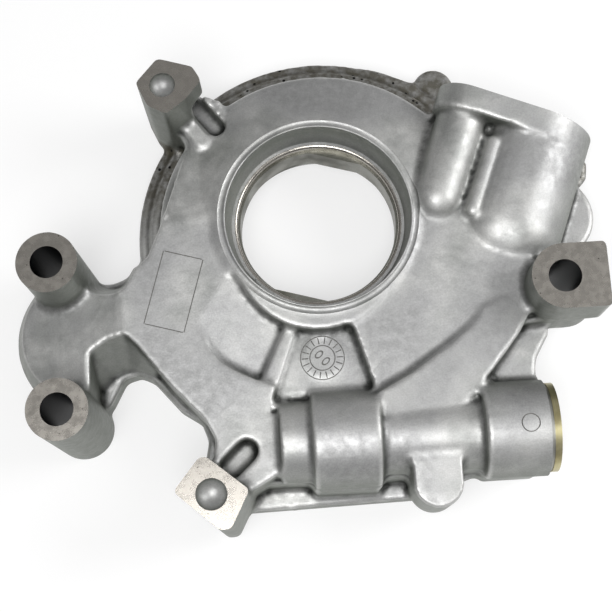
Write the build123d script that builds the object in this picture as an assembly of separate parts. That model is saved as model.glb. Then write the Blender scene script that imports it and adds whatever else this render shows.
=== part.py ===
from build123d import *
import os
from math import atan, atan2, cos, degrees, hypot, pi, radians, sin, tan

# Crank-driven gerotor oil pump. Lengths in mm. The origin is on the crank axis at the rear mounting
# plane, +Z runs out of the front along the crank axis, +X along the relief-valve bore to its plug.

# ---- clearances ----
RUNNING = 0.06            # radial gap of the outer rotor in its pocket
END_FLOAT = 0.05          # gap at each end of the rotors
LOBE_GAP = 0.09           # least gap between the inner and outer rotor's lobes
SLIDING = 0.03            # radial gap of the relief piston in its bore
SEAT_GAP = 0.02           # radial gap at screws, pins, the plug's thread and its seal
COVER_GAP = 0.4           # gap between the cover's edge and the casting beside it

# ---- rotors ----
ECCENTRICITY = 2.8        # the outer rotor's axis lies this far below the crank axis
OUTER_TEETH = 11
LOBE_R = 6.0              # radius of each outer rotor lobe
LOBE_CIRCLE_R = 39.5      # radius of the circle that the lobe centres lie on
OUTER_RIM = 3.41          # wall outside the deepest point between two lobes
ROTOR_WIDTH = 13.4
DRIVE_BORE_R = 22.6       # round part of the double-D drive bore
DRIVE_FLAT_RISE = 1.4     # the two drive flats stand this far inside the round bore
DRIVE_ANGLE = -16.5       # turn of the flats from +X at rest
DRIVE_LENGTH = 8.0        # the flats reach this far back from the rotor's front face
DRIVE_RELIEF = 1.4        # the bore opens out by this behind the flats
LOBE_POINTS = 16          # points of the curve for each inner rotor lobe
VALLEY_R = LOBE_CIRCLE_R - LOBE_R + 2 * ECCENTRICITY + LOBE_GAP
OUTER_ROTOR_R = VALLEY_R + OUTER_RIM
POCKET_R = OUTER_ROTOR_R + RUNNING

# ---- rear cover ----
BODY_CENTRE = (1.0, -0.5)  # the cover, its screws and the casting's rim are centred here
COVER_T = 5.0
COVER_BORE_R = 25.6
COVER_EDGE = 0.2          # from the screw heads to the cover's edge
SCREW_COUNT = 10
SCREW_R = 2.5             # shank radius, M5
SCREW_HEAD_R = 4.4
SCREW_HEAD_T = 2.5        # depth of the countersunk head
SCREW_LENGTH = 9.6
SCREW_HOLE_R = 2.7        # clearance hole in the cover
SCREW_INSET = 0.15        # the heads lie this far below the cover's rear face
SCREW_SOCKET = 3.0        # across flats of the hexagon socket
SCREW_SOCKET_DEPTH = 1.6
SCREW_WALL = 4.04         # from the rotor pocket to the screws
SCREW_START = 28.0        # direction of the first screw
SCREW_TIP_SPACE = 0.5     # drilled depth past the screw's tip
DOWEL_R = 2.0
DOWEL_LENGTH = 8.0
DOWEL_INSET = 0.8         # the dowels lie this far below the cover's rear face
DOWEL_ANGLES = (46.0, 226.0)
SCREW_CIRCLE_R = POCKET_R + SCREW_WALL + SCREW_R
COVER_R = SCREW_CIRCLE_R + SCREW_HEAD_R + COVER_EDGE

# ---- pump body ----
POCKET_FLOOR = COVER_T + ROTOR_WIDTH + 2 * END_FLOAT
POCKET_WALL = 4.14                       # casting round the rotor pocket
DISC_R, DISC_X, DISC_Y = POCKET_R + POCKET_WALL, 1.0, -2.0  # round front wall, and its centre
RIM_R, RIM_TOP = COVER_R + COVER_GAP, 11.5  # rim that the cover is screwed to
STEP_W, STEP_TOP = 3.6, 13.5             # second, narrower step of the rim
RING_R, RING_TOP = 27.2, 29.8            # raised edge round the crank bore
RING_MOUTH_R = 26.3                      # inner edge of that ring
LIP_R, LIP_TOP = 23.2, 21.0              # inner lip of the crank bore
LIP_OUTER_R = 24.9                       # the mouth's hollow starts here, at the lip
MOUTH_SAG = 0.8                          # how deep the mouth's wall is hollowed
GROOVE_R, GROOVE_ROUND, GROOVE_DEPTH = 27.8, 1.3, 0.6  # shallow groove round the ring
CONE_SLOPE = 22.0                        # fall of the round front wall away from the ring, degrees
LEFT_TOP = 28.2                          # flat front face, left
RIGHT_TOP = 28.6                         # flat front face, right
FACE_TOP = 42.0                          # every machined boss face
CORNER = 1.2                             # round of the outlines' corners

# ---- mounting bosses ----
BOLT_R = 4.5                             # clearance hole for an M8 bolt
BOSS_R, BOSS_FOOT_R = 8.4, 8.7           # at the machined face and at the foot: the casting draft
UPPER_LEFT = (-74.4, -12.7)
LOWER_LEFT = (-72.1, -53.0)
RIGHT = (65.1, -24.9)
RIGHT_PAD_R, RIGHT_PAD_END = 9.0, 77.0   # half-width of the U-shaped pad, and its straight end
RIGHT_PAD_BASE, RIGHT_BOSS_BASE = 26.0, 11.0
RIGHT_BOSS_R, RIGHT_BOSS_SPREAD = 8.2, 5.0  # the boss under the pad is this much longer than round
NECK, NECK_R, NECK_TOP = (50.0, -24.0), 10.0, 24.0  # joins the right boss to the body

# ---- fixture pads with a blind dimple ----
TOP_DIMPLE, TOP_DIMPLE_R = (-41.4, 36.6), 3.6           # the dimples are hollow half balls
BOTTOM_DIMPLE, BOTTOM_DIMPLE_R = (-32.3, -77.6), 4.2
TOP_PAD_BASE, BOTTOM_PAD_BASE = 9.0, 6.0
PAD_DRAFT = 0.5                          # slope of the pads' walls, degrees
TOP_SLOT_W, BOTTOM_SLOT_W = 5.2, 6.4     # grooves beside the pads

# ---- relief valve ----
RELIEF_Y, RELIEF_Z = -63.0, 22.0         # axis of the bore, along X
RELIEF_BORE_R = 7.5
RELIEF_SEAT_X = -4.0                     # shoulder that the piston rests on
RELIEF_INLET_R, RELIEF_INLET_X = 5.6, -9.0  # narrower bore before the shoulder, and its blind end
PISTON_LENGTH, PISTON_WALL, PISTON_CROWN = 17.0, 2.0, 4.0
TUBE_END_R, TUBE_END_X = 11.3, -14.0     # closed end of the tube
TUBE_COLLAR_R, TUBE_COLLAR = 13.4, (-5.0, 13.4)
TUBE_R = 10.4
PLUG_COLLAR_R, PLUG_COLLAR = 13.3, (41.5, 58.7)
PLUG_THREAD_R, PLUG_THREAD_LENGTH = 10.0, 13.0
PLUG_HEAD_R, PLUG_HEAD_T = 12.3, 1.8
PLUG_SOCKET, PLUG_SOCKET_DEPTH = 10.0, 6.0  # hexagon across flats
PLUG_SPIGOT_R, PLUG_SPIGOT_LENGTH = 3.4, 3.0
SEAL_R, SEAL_T = 12.0, 1.0               # soft washer under the plug's head
SPRING_WIRE_R, SPRING_R, SPRING_TURNS = 0.7, 4.5, 7
TAB_X, TAB_Y, TAB_R, TAB_TOP, TAB_BASE = 27.9, -77.0, 6.8, 30.6, 9.0

# ---- inlet for the pick-up tube ----
INLET_TILT = 21.5                        # turn of the inlet axis from +Y towards +X
INLET_T, INLET_Z = 52.3, 18.2            # across the tilt, and height of the chamber axis
INLET_R, INLET_END = 14.5, 16.0          # chamber radius, and where its round end is centred
INLET_SPREAD = 3.2                       # the chamber is this much wider than round
INLET_BORE_R = 11.0
INLET_MOUTH_R, INLET_MOUTH_DEPTH = 12.0, 9.0
FLANGE_S, FLANGE_T = 48.6, 7.0           # flange face along the axis, and its thickness
FLANGE_PORT_R = 15.5
BOLT_RIB_T, BOLT_RIB_Z, BOLT_RIB_R = 30.5, 25.6, 7.3
BOLT_RIB_END = 16.3
FLANGE_BOLT_R, FLANGE_BOLT_DEPTH = 3.4, 22.0  # tapped hole, M8
FLANGE_EAR_R = 9.1
THIN_RIB_T, THIN_RIB_Z, THIN_RIB_R = 41.2, 29.2, 2.2
THIN_RIB_SPAN = (14.8, 36.0)
VALLEY_TOP = 27.2                        # casting between the bolt rib and the chamber
INLET_BASE = 6.0                         # rear of the casting under the inlet
REAR_EAR, REAR_EAR_R, REAR_EAR_TOP = (37.9, 44.3), 6.1, 10.0
RIM_FLARE = (((12.0, 24.0), 28.0), ((29.0, 42.6), 4.0))  # the rim runs out straight to the rear ear
SIDE_EAR, SIDE_EAR_R, SIDE_EAR_TOP = (68.8, -0.3), 12.4, 15.0
FLANGE_FOOT = ((68.0, 21.0), (79.0, 20.4), (82.4, 18.0), (81.8, 13.0), (79.6, 10.6), (68.0, 10.0))
FLANGE_FOOT_TOP = 9.0

# ---- oil passages ----
PORT_INNER_R, PORT_OUTER_R = 30.5, 38.5  # radial span of the kidney ports about the crank axis
PORT_LAND = 20.0                         # half the angle of the sealing lands at the top and bottom
COVER_PORT_DEPTH = 1.5                   # shallow copies of the ports in the cover
PASSAGE_ROOF = 22.0                      # front end of the cast passages
PASSAGE_W = 7.0
OUTLET_PORT, OUTLET_PORT_R = (-73.0, -32.4), 7.0
ARM_PASSAGE_W, ARM_PASSAGE_Z = 9.0, (8.0, 19.0)
# The routes are centre lines seen from the front.
OUTLET_ROUTE = ((-34.0, -6.0), (-50.7, -22.6))
ARM_ROUTE = ((-55.0, -25.2), OUTLET_PORT)
FEED_ROUTE = ((-36.0, -14.0), (-26.0, -50.0), (RELIEF_INLET_X + 3.0, RELIEF_Y + 1.0))
BYPASS_ROUTE = ((6.0, -57.5), (16.0, -51.5), (41.0, -38.0), (52.0, -20.0), (54.0, -8.0))

# ---- outlines of the casting, seen from the front ----
LEFT_FACE = ((-30.0, 0.0), (0.0, 0.0), (-6.0, -30.0), (-12.0, -49.5), (-13.6, -58.0), (-13.9, -67.5),
             (-16.5, -73.0), (-21.0, -75.5), (-32.5, -68.0), (-31.8, -61.5), (-34.6, -55.8),
             (-43.8, -45.6), (-52.5, -34.0), (-56.0, -30.5), (-56.0, -18.0), (-52.8, -12.4),
             (-48.6, -8.4), (-45.0, 0.0))
LEFT_RAMP = ((-45.0, 0.0), (-41.3, 11.1), (-38.8, 18.8), (-35.5, 26.0), (-30.5, 28.5), (-24.0, 20.0),
             (-20.0, 0.0))
LEFT_RAMP_SLOPE, LEFT_RAMP_FALL = 9.2, 100.0  # its fall towards the top pad, and that direction
BYPASS_EDGE = ((57.4, -30.8), (54.0, -36.6), (49.2, -42.6), (44.6, -47.9), (40.0, -52.6),
               (35.2, -56.4), (28.0, -60.0), (13.6, -60.0))
RIGHT_FACE = ((13.2, -50.0), (-14.0, -50.0), (-12.0, -40.0), (0.0, 0.0), (24.0, 8.0), (33.0, 5.0),
              (58.0, -8.0), (60.0, -25.0)) + BYPASS_EDGE
BYPASS_RIB = ((44.6, -29.5), (42.9, -32.3), (40.1, -35.0), (35.6, -38.7), (30.3, -42.1),
              (22.8, -47.0), (13.6, -51.6)) + BYPASS_EDGE[::-1] + ((58.0, -24.0),)
BYPASS_RIB_SLOPE, BYPASS_RIB_FALL, BYPASS_RIB_RISE = 3.2, 45.0, 0.5
SUNK_PANEL = ((-20.6, -6.8), (-35.2, -28.5), (-34.6, -32.0), (-32.6, -36.5), (-29.6, -40.3),
              (-25.0, -43.2), (-18.3, -46.4), (-10.8, -31.3), (-12.6, -24.0), (-16.0, -12.0))
SUNK_PANEL_SLOPE, SUNK_PANEL_FALL = 7.5, -33.6
DATE_PAD = ((-7.6, -30.0), (7.2, -30.0), (12.6, -49.4), (12.6, -56.0), (-17.4, -56.0), (-14.6, -48.2))
DATE_PAD_TOP, DATE_PAD_FLOOR = 25.4, 20.0
DATE_BEAD = ((-10.8, -29.0), (-7.2, -29.0), (-14.6, -48.2), (-18.3, -46.4))
DATE_BEAD_TOP = 26.7                     # low bead between the panel and the pad
RING_SHELF = 28.9                        # the face stays whole this far out round the ring
COLLAR, COLLAR_R, COLLAR_TOP = (-1.0, -10.0), 22.8, 29.2  # crescent below the ring
DATE_DIAL, DATE_DIAL_R, DATE_DIAL_STEP = (-1.0, -40.2), 5.7, 0.3
DATE_DIAL_HUB_R = 2.9
ARM = ((-72.0, -18.0), (-67.5, -17.8), (-63.5, -19.2), (-58.5, -19.3), (-53.5, -16.5),
       (-51.0, -12.0), (-44.0, -10.0), (-44.0, -31.0), (-50.0, -32.5), (-56.0, -30.6),
       (-61.0, -31.2), (-66.5, -33.9), (-72.0, -40.0))
ARM_DRAFT, ARM_SLOPE = 18.0, 14.0        # slope of its walls, and of its top from the left face down
BULGE, BULGE_R, BULGE_TOP_R = (-66.2, -28.9), 22.6, 17.0
BULGE_SHOULDER = 13.0                    # the bulge rounds over above this
BULGE_SPAN = ((-92.0, -12.0), (-66.0, -10.0), (-66.0, -50.0), (-92.0, -48.0))
SKIRT_TOP = 7.0                          # thin outer flange at the rear
SKIRT = ((-44.0, 0.0), (-54.0, -8.0), (-62.0, -10.6), (-66.5, -10.8), (-72.0, -9.0), (-84.0, -20.0),
         (-84.0, -40.0), (-70.0, -53.0), (-63.2, -47.5), (-59.2, -40.0), (-54.8, -38.8),
         (-51.0, -40.6), (-43.2, -49.9), (-36.9, -54.2), (-35.3, -59.5), (-37.0, -68.0),
         (-30.0, -80.0), (-24.0, -80.3), (25.4, -79.3), (40.0, -74.0), (56.0, -72.0), (57.0, -53.0),
         (56.0, -44.0), (60.0, -36.0), (58.0, -20.0), (30.0, 20.0))
TUBE_BED = ((-30.0, -40.0), (-31.0, -66.0), (-22.0, -74.2), (-14.0, -74.2), (-6.6, -74.4),
            (-5.0, -77.0), (12.6, -77.2), (14.2, -74.4), (41.5, -73.0), (43.0, -75.0),
            (58.5, -75.0), (58.5, -52.0), (50.0, -46.0), (30.0, -40.0))
TUBE_BED_TOP = 20.0
WEB = ((57.0, -31.0), (63.0, -33.6), (63.3, -36.2), (59.2, -43.0), (58.6, -46.2), (58.6, -54.0),
       (46.0, -54.0), (44.0, -47.0), (48.0, -28.0))
WEB_TOP, WEB_BASE = 20.5, 5.5
TOP_PAD = ((-42.6, 44.6), (-32.9, 41.6), (-30.6, 37.4), (-35.1, 32.0), (-40.6, 28.0), (-45.7, 30.7),
           (-48.8, 37.7))
TOP_PAD_ROOT = ((-40.5, 33.0), (-39.6, 30.0), (-36.4, 24.0), (-34.0, 20.0), (-24.0, 26.0),
                (-26.5, 38.5), (-33.0, 41.0))
TOP_PAD_ROOT_TOP = 24.0
TOP_SLOT, TOP_SLOT_FLOOR, TOP_SLOT_ROOF = ((-34.2, 38.0), (-27.9, 30.0)), 20.5, 32.8
TOP_RIDGE, TOP_RIDGE_W, TOP_RIDGE_TOP = ((-38.0, 33.6), (-32.4, 25.8)), 4.2, 26.0
BOTTOM_PAD = ((-35.2, -67.9), (-33.2, -67.9), (-22.4, -77.0), (-27.6, -86.7), (-30.4, -86.9),
              (-42.2, -76.4))
BOTTOM_SLOT, BOTTOM_SLOT_FLOOR = ((-28.0, -69.5), (-23.4, -65.2)), 23.0
HOLLOW_ROOF, HOLLOW_WALL = 9.0, 3.4      # hollows cast into the rear below the relief valve
HOLLOWS = (((-31.0, -56.0), (-27.0, -46.0), (-3.0, -50.0), (-3.0, -72.0), (-19.0, -72.0)),
           ((0.4, -50.0), (25.0, -50.0), (25.0, -72.0), (0.4, -72.0)),
           ((28.4, -46.0), (50.0, -40.0), (54.0, -50.0), (53.0, -69.0), (38.0, -71.0), (28.4, -72.0)))
THROUGH = 1.0                            # how far a cutting tool runs past a face

UP = (Align.CENTER, Align.CENTER, Align.MIN)


def disc(r, z0, z1, at=(0, 0)):
    return Pos(at[0], at[1], z0) * Cylinder(r, z1 - z0, align=UP)


def rod(r, x0, x1):
    """A cylinder along X on the relief-valve axis."""
    return Pos(x0, RELIEF_Y, RELIEF_Z) * Rot(0, 90, 0) * Cylinder(r, x1 - x0, align=UP)


def outline(points, corner=0.0):
    """A closed outline, its corners rounded by one radius if one is given."""
    face = make_face(Polyline(*points, close=True))
    return fillet(face.vertices(), corner) if corner else face


def prism(points, z0, z1, corner=0.0):
    return extrude(Plane.XY.offset(z0) * outline(points, corner), z1 - z0)


def drafted(points, z0):
    """A pad below the machined faces that widens towards its foot."""
    return extrude(Plane.XY.offset(FACE_TOP) * outline(points, CORNER), z0 - FACE_TOP, taper=-PAD_DRAFT)


def band(route, width, z0, z1):
    """A passage or rib of constant width with round ends along a route seen from the front."""
    parts = []
    for (ax, ay), (bx, by) in zip(route, route[1:]):
        slot = SlotOverall(hypot(bx - ax, by - ay) + width, width)
        turn = degrees(atan2(by - ay, bx - ax))
        parts.append(extrude(Pos((ax + bx) / 2, (ay + by) / 2, z0) * Rot(0, 0, turn) * slot, z1 - z0))
    return parts[0].fuse(*parts[1:]) if len(parts) > 1 else parts[0]


def hull_outline(circles):
    """The outline of a belt round some circles, each given as a centre and a radius."""
    edges = [(Pos(*centre) * Circle(radius)).edge() for centre, radius in circles]
    return make_hull(edges)


def hull_of(circles, z0, z1):
    return extrude(Plane.XY.offset(z0) * hull_outline(circles), z1 - z0)


def above_slope(solid, at, fall_towards, slope):
    """The part of a solid above a plane through a point that falls in one direction."""
    flat, steep = sin(radians(slope)), cos(radians(slope))
    tilt = (cos(radians(fall_towards)) * flat, sin(radians(fall_towards)) * flat, steep)
    return split(solid, bisect_by=Plane(origin=at, z_dir=tilt), keep=Keep.TOP)


def on_inlet(s, t, z=0.0):
    """A point given along and across the inlet axis."""
    a = radians(INLET_TILT)
    return (s * sin(a) + t * cos(a), s * cos(a) - t * sin(a), z)


def inlet_rod(r, s0, s1, t, z):
    """A cylinder along the inlet axis."""
    lie = Pos(*on_inlet(s0, t, z)) * Rot(0, 0, -INLET_TILT) * Rot(-90, 0, 0)
    return lie * Cylinder(r, s1 - s0, align=UP)


def inlet_block(s0, s1, t0, t1, z0, z1):
    corners = [on_inlet(s, t)[:2] for s, t in ((s0, t0), (s0, t1), (s1, t1), (s1, t0))]
    return prism(corners, z0, z1)


def ball(r, at):
    return Pos(*at) * Sphere(r)


def around(radius, angle, centre=(0, 0)):
    return (centre[0] + radius * cos(radians(angle)), centre[1] + radius * sin(radians(angle)))


def on_rim(angle):
    """A place on the circle of the cover's screws and dowels."""
    return around(SCREW_CIRCLE_R, angle, BODY_CENTRE)


# ---- pump housing ----
def round_body():
    """Rim, step and the coned front wall."""
    far = DISC_R + hypot(DISC_X, DISC_Y) + THROUGH
    low = RING_TOP - (far - RING_R) * tan(radians(CONE_SLOPE))
    half = outline(((0, 0), (far, 0), (far, low), (RING_R, RING_TOP), (0, RING_TOP)))
    wall = disc(DISC_R, COVER_T, RING_TOP, (DISC_X, DISC_Y)) & revolve(Plane.XZ * half, Axis.Z)
    rim = disc(RIM_R, COVER_T, RIM_TOP, BODY_CENTRE)
    return rim + disc(DISC_R + STEP_W, COVER_T, STEP_TOP, BODY_CENTRE) + wall


def front_faces():
    """The flat faces, the ramp to the top pad, the collar, and the rib over the bypass passage."""
    high, start = prism(BYPASS_RIB, 0, FACE_TOP), (*BYPASS_RIB[0], RIGHT_TOP + BYPASS_RIB_RISE)
    rib = high - above_slope(high, start, BYPASS_RIB_FALL, BYPASS_RIB_SLOPE)
    high, start = prism(LEFT_RAMP, 0, LEFT_TOP), (*LEFT_RAMP[0], LEFT_TOP)
    ramp = high - above_slope(high, start, LEFT_RAMP_FALL, LEFT_RAMP_SLOPE)
    collar = disc(COLLAR_R, 0, COLLAR_TOP, COLLAR)
    return prism(LEFT_FACE, 0, LEFT_TOP) + ramp + prism(RIGHT_FACE, 0, RIGHT_TOP) + rib + collar


def sunk_faces():
    """What the tilted panel and the pad of the date dial take off the front faces."""
    high = prism(SUNK_PANEL, DATE_PAD_FLOOR, FACE_TOP)
    panel = above_slope(high, (*SUNK_PANEL[0], LEFT_TOP), SUNK_PANEL_FALL, SUNK_PANEL_SLOPE)
    sunk = panel + prism(DATE_PAD, DATE_PAD_TOP, FACE_TOP) + prism(DATE_BEAD, DATE_BEAD_TOP, FACE_TOP)
    return sunk - disc(RING_SHELF, 0, FACE_TOP) - disc(COLLAR_R, 0, FACE_TOP, COLLAR)


def outlet_arm():
    """The arm that slopes down to the two left bosses, with the bulge over the outlet."""
    dome = Pos(*BULGE, BULGE_SHOULDER) * Cone(BULGE_R, BULGE_TOP_R, LEFT_TOP - BULGE_SHOULDER, align=UP)
    bulge = (disc(BULGE_R, 0, BULGE_SHOULDER, BULGE) + dome) & prism(BULGE_SPAN, 0, LEFT_TOP)
    arm = bulge + extrude(Plane.XY.offset(LEFT_TOP) * outline(ARM), SKIRT_TOP - LEFT_TOP, taper=-ARM_DRAFT)
    corner = (min(x for x, y in LEFT_FACE), 0, LEFT_TOP)
    arm -= above_slope(arm, corner, 180, ARM_SLOPE)
    for at in (UPPER_LEFT, LOWER_LEFT):
        arm += Pos(*at, 0) * Cone(BOSS_FOOT_R, BOSS_R, FACE_TOP, align=UP)
    return arm


def right_boss():
    x, y = RIGHT
    end = ((x, y - RIGHT_PAD_R), (RIGHT_PAD_END, y - RIGHT_PAD_R), (RIGHT_PAD_END, y + RIGHT_PAD_R),
           (x, y + RIGHT_PAD_R))
    pad = disc(RIGHT_PAD_R, RIGHT_PAD_BASE, FACE_TOP, RIGHT) + prism(end, RIGHT_PAD_BASE, FACE_TOP)
    boss = band((RIGHT, (x + RIGHT_BOSS_SPREAD, y)), 2 * RIGHT_BOSS_R, RIGHT_BOSS_BASE, RIGHT_PAD_BASE)
    return pad + boss + hull_of(((RIGHT, RIGHT_BOSS_R), (NECK, NECK_R)), RIGHT_BOSS_BASE, NECK_TOP)


def fixture_pads():
    """The two pads that hold the casting for machining, and the top pad's root on the body."""
    pads = drafted(TOP_PAD, TOP_PAD_BASE) + drafted(BOTTOM_PAD, BOTTOM_PAD_BASE)
    root = prism(TOP_PAD_ROOT, TOP_PAD_BASE, TOP_PAD_ROOT_TOP, CORNER)
    return pads + root + band(TOP_RIDGE, TOP_RIDGE_W, TOP_PAD_BASE, TOP_RIDGE_TOP)


def relief_tube():
    tube = rod(TUBE_END_R, TUBE_END_X, TUBE_COLLAR[0]) + rod(TUBE_COLLAR_R, *TUBE_COLLAR)
    tube += rod(TUBE_R, TUBE_COLLAR[1], PLUG_COLLAR[0]) + rod(PLUG_COLLAR_R, *PLUG_COLLAR)
    left, right = TAB_X - TAB_R, TAB_X + TAB_R
    root = ((left, TAB_Y), (right, TAB_Y), (right, RELIEF_Y), (left, RELIEF_Y))
    tube += disc(TAB_R, TAB_BASE, TAB_TOP, (TAB_X, TAB_Y)) + prism(root, TAB_BASE, TAB_TOP)
    return tube + prism(TUBE_BED, 0, TUBE_BED_TOP) + prism(WEB, WEB_BASE, WEB_TOP)


def inlet_chamber():
    """The chamber of the pick-up tube's oil, the rib of the flange bolt, and the ears behind them."""
    left, right = INLET_T - INLET_SPREAD / 2, INLET_T + INLET_SPREAD / 2
    wide = hull_outline((((left, INLET_Z), INLET_R), ((right, INLET_Z), INLET_R)))
    chamber = extrude(flange_plane() * wide, FLANGE_S - INLET_END)
    for t in (left, right):
        chamber += ball(INLET_R, on_inlet(INLET_END, t, INLET_Z))
    across = Pos(*on_inlet(INLET_END, left, INLET_Z)) * Rot(0, 0, -INLET_TILT) * Rot(0, 90, 0)
    chamber += across * Cylinder(INLET_R, INLET_SPREAD, align=UP)
    for radius, t, z, (start, stop) in ((BOLT_RIB_R, BOLT_RIB_T, BOLT_RIB_Z, (BOLT_RIB_END, FLANGE_S)),
                                        (THIN_RIB_R, THIN_RIB_T, THIN_RIB_Z, THIN_RIB_SPAN)):
        chamber += inlet_rod(radius, start, stop, t, z) + ball(radius, on_inlet(start, t, z))
    chamber += ball(THIN_RIB_R, on_inlet(THIN_RIB_SPAN[1], THIN_RIB_T, THIN_RIB_Z))
    back = FLANGE_S - FLANGE_T
    chamber += inlet_block(BOLT_RIB_END, back, BOLT_RIB_T - BOLT_RIB_R, BOLT_RIB_T + BOLT_RIB_R,
                           COVER_T, BOLT_RIB_Z)
    chamber += inlet_block(0, back, BOLT_RIB_T, INLET_T, INLET_BASE, VALLEY_TOP)
    chamber += disc(REAR_EAR_R, COVER_T, REAR_EAR_TOP, REAR_EAR) + hull_of(RIM_FLARE, COVER_T, RIM_TOP)
    ear = ((SIDE_EAR, SIDE_EAR_R), (on_inlet(INLET_END, INLET_T)[:2], INLET_R))
    chamber += hull_of(ear, COVER_T, SIDE_EAR_TOP)
    return chamber + prism(FLANGE_FOOT, COVER_T, FLANGE_FOOT_TOP, CORNER)


def flange_plane():
    """The flange's face, its X across the inlet axis and its Y up along the crank axis."""
    a = radians(INLET_TILT)
    return Plane(origin=on_inlet(FLANGE_S, 0), x_dir=(cos(a), -sin(a), 0), z_dir=(-sin(a), -cos(a), 0))


def inlet_flange():
    circles = (((INLET_T, INLET_Z), FLANGE_PORT_R), ((BOLT_RIB_T, BOLT_RIB_Z), FLANGE_EAR_R))
    return extrude(flange_plane() * hull_outline(circles), FLANGE_T)


def kidney(middle, z0, z1):
    """A port shaped as a part of a ring about the crank axis."""
    half_span = 90 - PORT_LAND
    ring = disc(PORT_OUTER_R, z0, z1) - disc(PORT_INNER_R, z0, z1)
    middle_r = (PORT_INNER_R + PORT_OUTER_R) / 2
    end_r = (PORT_OUTER_R - PORT_INNER_R) / 2
    away = 4 * PORT_OUTER_R
    wedge = [(0, 0)] + [around(away, middle + turn) for turn in (-half_span, 0, half_span)]
    port = ring & prism(wedge, z0, z1)
    for angle in (middle - half_span, middle + half_span):
        port += disc(end_r, z0, z1, around(middle_r, angle))
    return port


def passages():
    """Everything the oil flows through: the two ports, and the ways out, to the valve and back."""
    floor = POCKET_FLOOR - THROUGH
    oil = kidney(0, floor, PASSAGE_ROOF) + kidney(180, floor, PASSAGE_ROOF)
    for route in (OUTLET_ROUTE, FEED_ROUTE, BYPASS_ROUTE):
        oil += band(route, PASSAGE_W, POCKET_FLOOR, PASSAGE_ROOF)
    oil += disc(PASSAGE_W / 2, ARM_PASSAGE_Z[0], PASSAGE_ROOF, OUTLET_ROUTE[-1])
    oil += band(ARM_ROUTE, ARM_PASSAGE_W, *ARM_PASSAGE_Z)
    oil += disc(OUTLET_PORT_R, -THROUGH, ARM_PASSAGE_Z[1], OUTLET_PORT)
    oil += inlet_rod(INLET_BORE_R, INLET_END, FLANGE_S + THROUGH, INLET_T, INLET_Z)
    oil += inlet_rod(INLET_MOUTH_R, FLANGE_S - INLET_MOUTH_DEPTH, FLANGE_S + THROUGH, INLET_T, INLET_Z)
    oil += ball(INLET_BORE_R, on_inlet(INLET_END, INLET_T, INLET_Z))
    throat = (on_inlet(INLET_END, INLET_T)[:2], around(PORT_OUTER_R - PASSAGE_W / 2, 0))
    return oil + band(throat, 2 * PASSAGE_W, POCKET_FLOOR, PASSAGE_ROOF)


def crank_mouth():
    """The bore through the front wall: the lip, and the hollow slope from the lip out to the ring."""
    start, stop = (LIP_OUTER_R, LIP_TOP), (RING_MOUTH_R, RING_TOP)
    middle = ((start[0] + stop[0]) / 2 + MOUTH_SAG, (start[1] + stop[1]) / 2)
    edges = ThreePointArc(start, middle, stop) + Polyline(
        stop, (RING_MOUTH_R, FACE_TOP), (0, FACE_TOP), (0, LIP_TOP), start)
    return revolve(Plane.XZ * make_face(edges.edges()), Axis.Z) + disc(LIP_R, 0, FACE_TOP)


def drilled_holes():
    holes = [disc(BOLT_R, -THROUGH, FACE_TOP + THROUGH, at) for at in (UPPER_LEFT, LOWER_LEFT)]
    holes.append(disc(BOLT_R, RIGHT_BOSS_BASE - THROUGH, FACE_TOP + THROUGH, RIGHT))
    screw_end = SCREW_LENGTH + SCREW_TIP_SPACE
    holes += [disc(SCREW_R + SEAT_GAP, 0, screw_end, on_rim(angle)) for angle in screw_angles()]
    dowel_end = DOWEL_INSET + DOWEL_LENGTH
    holes += [disc(DOWEL_R + SEAT_GAP, 0, dowel_end, on_rim(angle)) for angle in DOWEL_ANGLES]
    holes.append(ball(TOP_DIMPLE_R, (*TOP_DIMPLE, FACE_TOP)))
    holes.append(ball(BOTTOM_DIMPLE_R, (*BOTTOM_DIMPLE, FACE_TOP)))
    deep = FLANGE_S - FLANGE_BOLT_DEPTH
    return holes + [inlet_rod(FLANGE_BOLT_R, deep, FLANGE_S + THROUGH, BOLT_RIB_T, BOLT_RIB_Z)]


def relief_bore():
    thread_start = PLUG_COLLAR[1] - PLUG_THREAD_LENGTH
    bore = rod(RELIEF_INLET_R, RELIEF_INLET_X, RELIEF_SEAT_X)
    bore += rod(RELIEF_BORE_R, RELIEF_SEAT_X, PLUG_COLLAR[1])
    return bore + rod(PLUG_THREAD_R + SEAT_GAP, thread_start, PLUG_COLLAR[1] + THROUGH)


def rear_hollows():
    hollows = prism(HOLLOWS[0], -THROUGH, HOLLOW_ROOF, CORNER)
    for points in HOLLOWS[1:]:
        hollows += prism(points, -THROUGH, HOLLOW_ROOF, CORNER)
    return hollows - disc(RIM_R + HOLLOW_WALL, -THROUGH, HOLLOW_ROOF, BODY_CENTRE)


def date_dial():
    """A plain raised ring and hub where the casting's date dial sits."""
    top = DATE_PAD_TOP + DATE_DIAL_STEP
    dial = disc(DATE_DIAL_R, DATE_PAD_TOP - THROUGH, top, DATE_DIAL)
    groove = disc(DATE_DIAL_HUB_R + DATE_DIAL_STEP, DATE_PAD_TOP, top, DATE_DIAL) - disc(
        DATE_DIAL_HUB_R, DATE_PAD_TOP, top, DATE_DIAL)
    return dial - groove


def screw_angles():
    return [SCREW_START + 360 * k / SCREW_COUNT for k in range(SCREW_COUNT)]


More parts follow.
